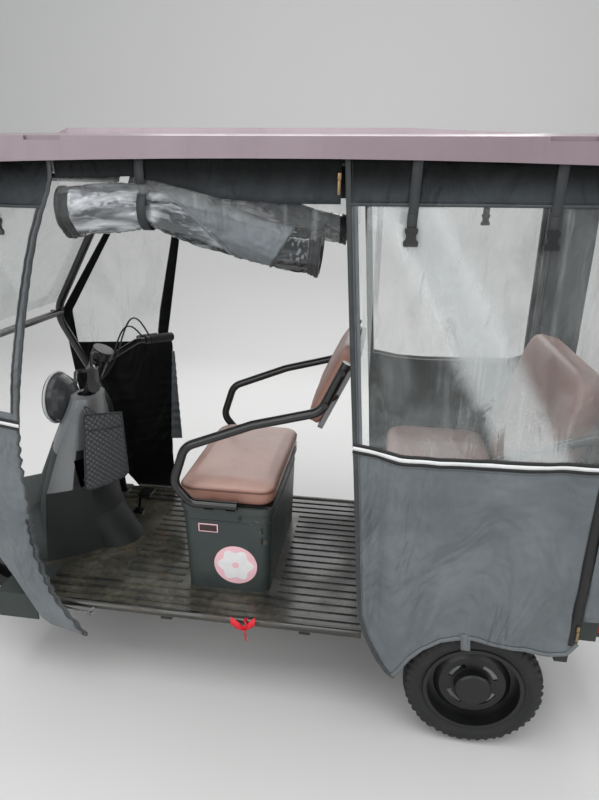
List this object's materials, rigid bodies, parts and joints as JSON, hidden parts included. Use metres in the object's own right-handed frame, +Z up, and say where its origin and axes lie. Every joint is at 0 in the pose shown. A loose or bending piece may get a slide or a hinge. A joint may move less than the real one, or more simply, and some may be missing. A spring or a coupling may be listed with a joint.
{
  "type": "auto rickshaw",
  "caption": "Electric passenger tricycle with a hard roof, zip-on rain curtains, a driver's seat over a storage bucket and a passenger bench.",
  "frame": {"origin": "on the floor, under the middle of the overall box", "axes": "+X towards the rear, +Y to the vehicle's right, +Z up"},
  "size_m": [2.397, 1.0186, 1.712],
  "materials": {
    "chassis_paint": "satin black paint",
    "floor_mat": "ribbed dark mat",
    "bright_steel": "scuffed bare steel",
    "cowl_plastic": "moulded dark green-grey plastic",
    "black_plastic": "black moulded plastic",
    "lamp_glass": "clear",
    "roof_plastic": "satin mauve",
    "tube_paint": "gloss black paint",
    "screen_glass": "clear",
    "clear_vinyl": "milky clear sheet",
    "curtain_cloth": "coated blue-grey cloth",
    "seat_leather": "dusty brown",
    "tail_red": "translucent red",
    "grip_rubber": "ribbed",
    "tyre_rubber": "block tread",
    "wheel_paint": "satin black paint"
  },
  "bodies": {
    "root": {"chassis_frame": "chassis_paint", "floor_pan": "floor_mat", "side_sills": "bright_steel", "front_cowl": "cowl_plastic", "inner_shield": "cowl_plastic", "headlamp_shell": "black_plastic", "headlamp_lens": "lamp_glass", "roof_panel": "roof_plastic", "roof_frame": "tube_paint", "windscreen_frame": "tube_paint", "windscreen": "screen_glass", "front_curtains": "curtain_cloth", "front_windows": "clear_vinyl", "rear_curtains": "curtain_cloth", "rear_windows": "clear_vinyl", "back_curtain": "curtain_cloth", "back_window": "clear_vinyl", "door_rolls": "curtain_cloth", "seat_bucket": "cowl_plastic", "bench_base": "chassis_paint", "battery": "black_plastic", "bench_back": "seat_leather", "bench_arms": "tube_paint", "rear_axle": "chassis_paint", "leaf_springs": "chassis_paint", "rear_body": "cowl_plastic", "rear_bumper": "tube_paint", "tail_lamps": "tail_red", "brake_pedal": "tube_paint"},
    "steering": {"fork": "tube_paint", "front_fender": "cowl_plastic", "handlebar": "tube_paint", "instrument": "black_plastic", "grips": "grip_rubber", "brake_levers": "black_plastic"},
    "front_wheel": {"tyre_front": "tyre_rubber", "rim_front": "wheel_paint"},
    "rear_wheel_left": {"tyre_rear_left": "tyre_rubber", "rim_rear_left": "wheel_paint"},
    "rear_wheel_right": {"tyre_rear_right": "tyre_rubber", "rim_rear_right": "wheel_paint"},
    "driver_seat": {"driver_plate": "tube_paint", "driver_cushion": "seat_leather", "driver_tubes": "tube_paint", "driver_back_pad": "seat_leather", "driver_back_shell": "black_plastic"},
    "bench_lid": {"bench_plate": "tube_paint", "bench_cushion": "seat_leather"}
  },
  "joints": [
    {"name": "steering_turn", "type": "hinge", "parent": "root", "child": "steering", "pos_m": [-0.59, 0, 0.9], "axis": [0.4384, 0, 0.8988], "range_deg": [-40, 40]},
    {"name": "front_wheel_spin", "type": "hinge", "parent": "steering", "child": "front_wheel", "pos_m": [-0.972, 0, 0.2025], "axis": [0, 1, 0], "continuous": true},
    {"name": "rear_wheel_left_spin", "type": "hinge", "parent": "root", "child": "rear_wheel_left", "pos_m": [0.76, -0.432, 0.2025], "axis": [0, 1, 0], "continuous": true},
    {"name": "rear_wheel_right_spin", "type": "hinge", "parent": "root", "child": "rear_wheel_right", "pos_m": [0.76, 0.432, 0.2025], "axis": [0, 1, 0], "continuous": true},
    {"name": "driver_seat_tilt", "type": "hinge", "parent": "root", "child": "driver_seat", "pos_m": [-0.178, 0, 0.6282], "axis": [0, -1, 0], "range_deg": [0, 50]},
    {"name": "bench_lid_tilt", "type": "hinge", "parent": "root", "child": "bench_lid", "pos_m": [0.492, 0, 0.6126], "axis": [0, -1, 0], "range_deg": [0, 70]}
  ]
}
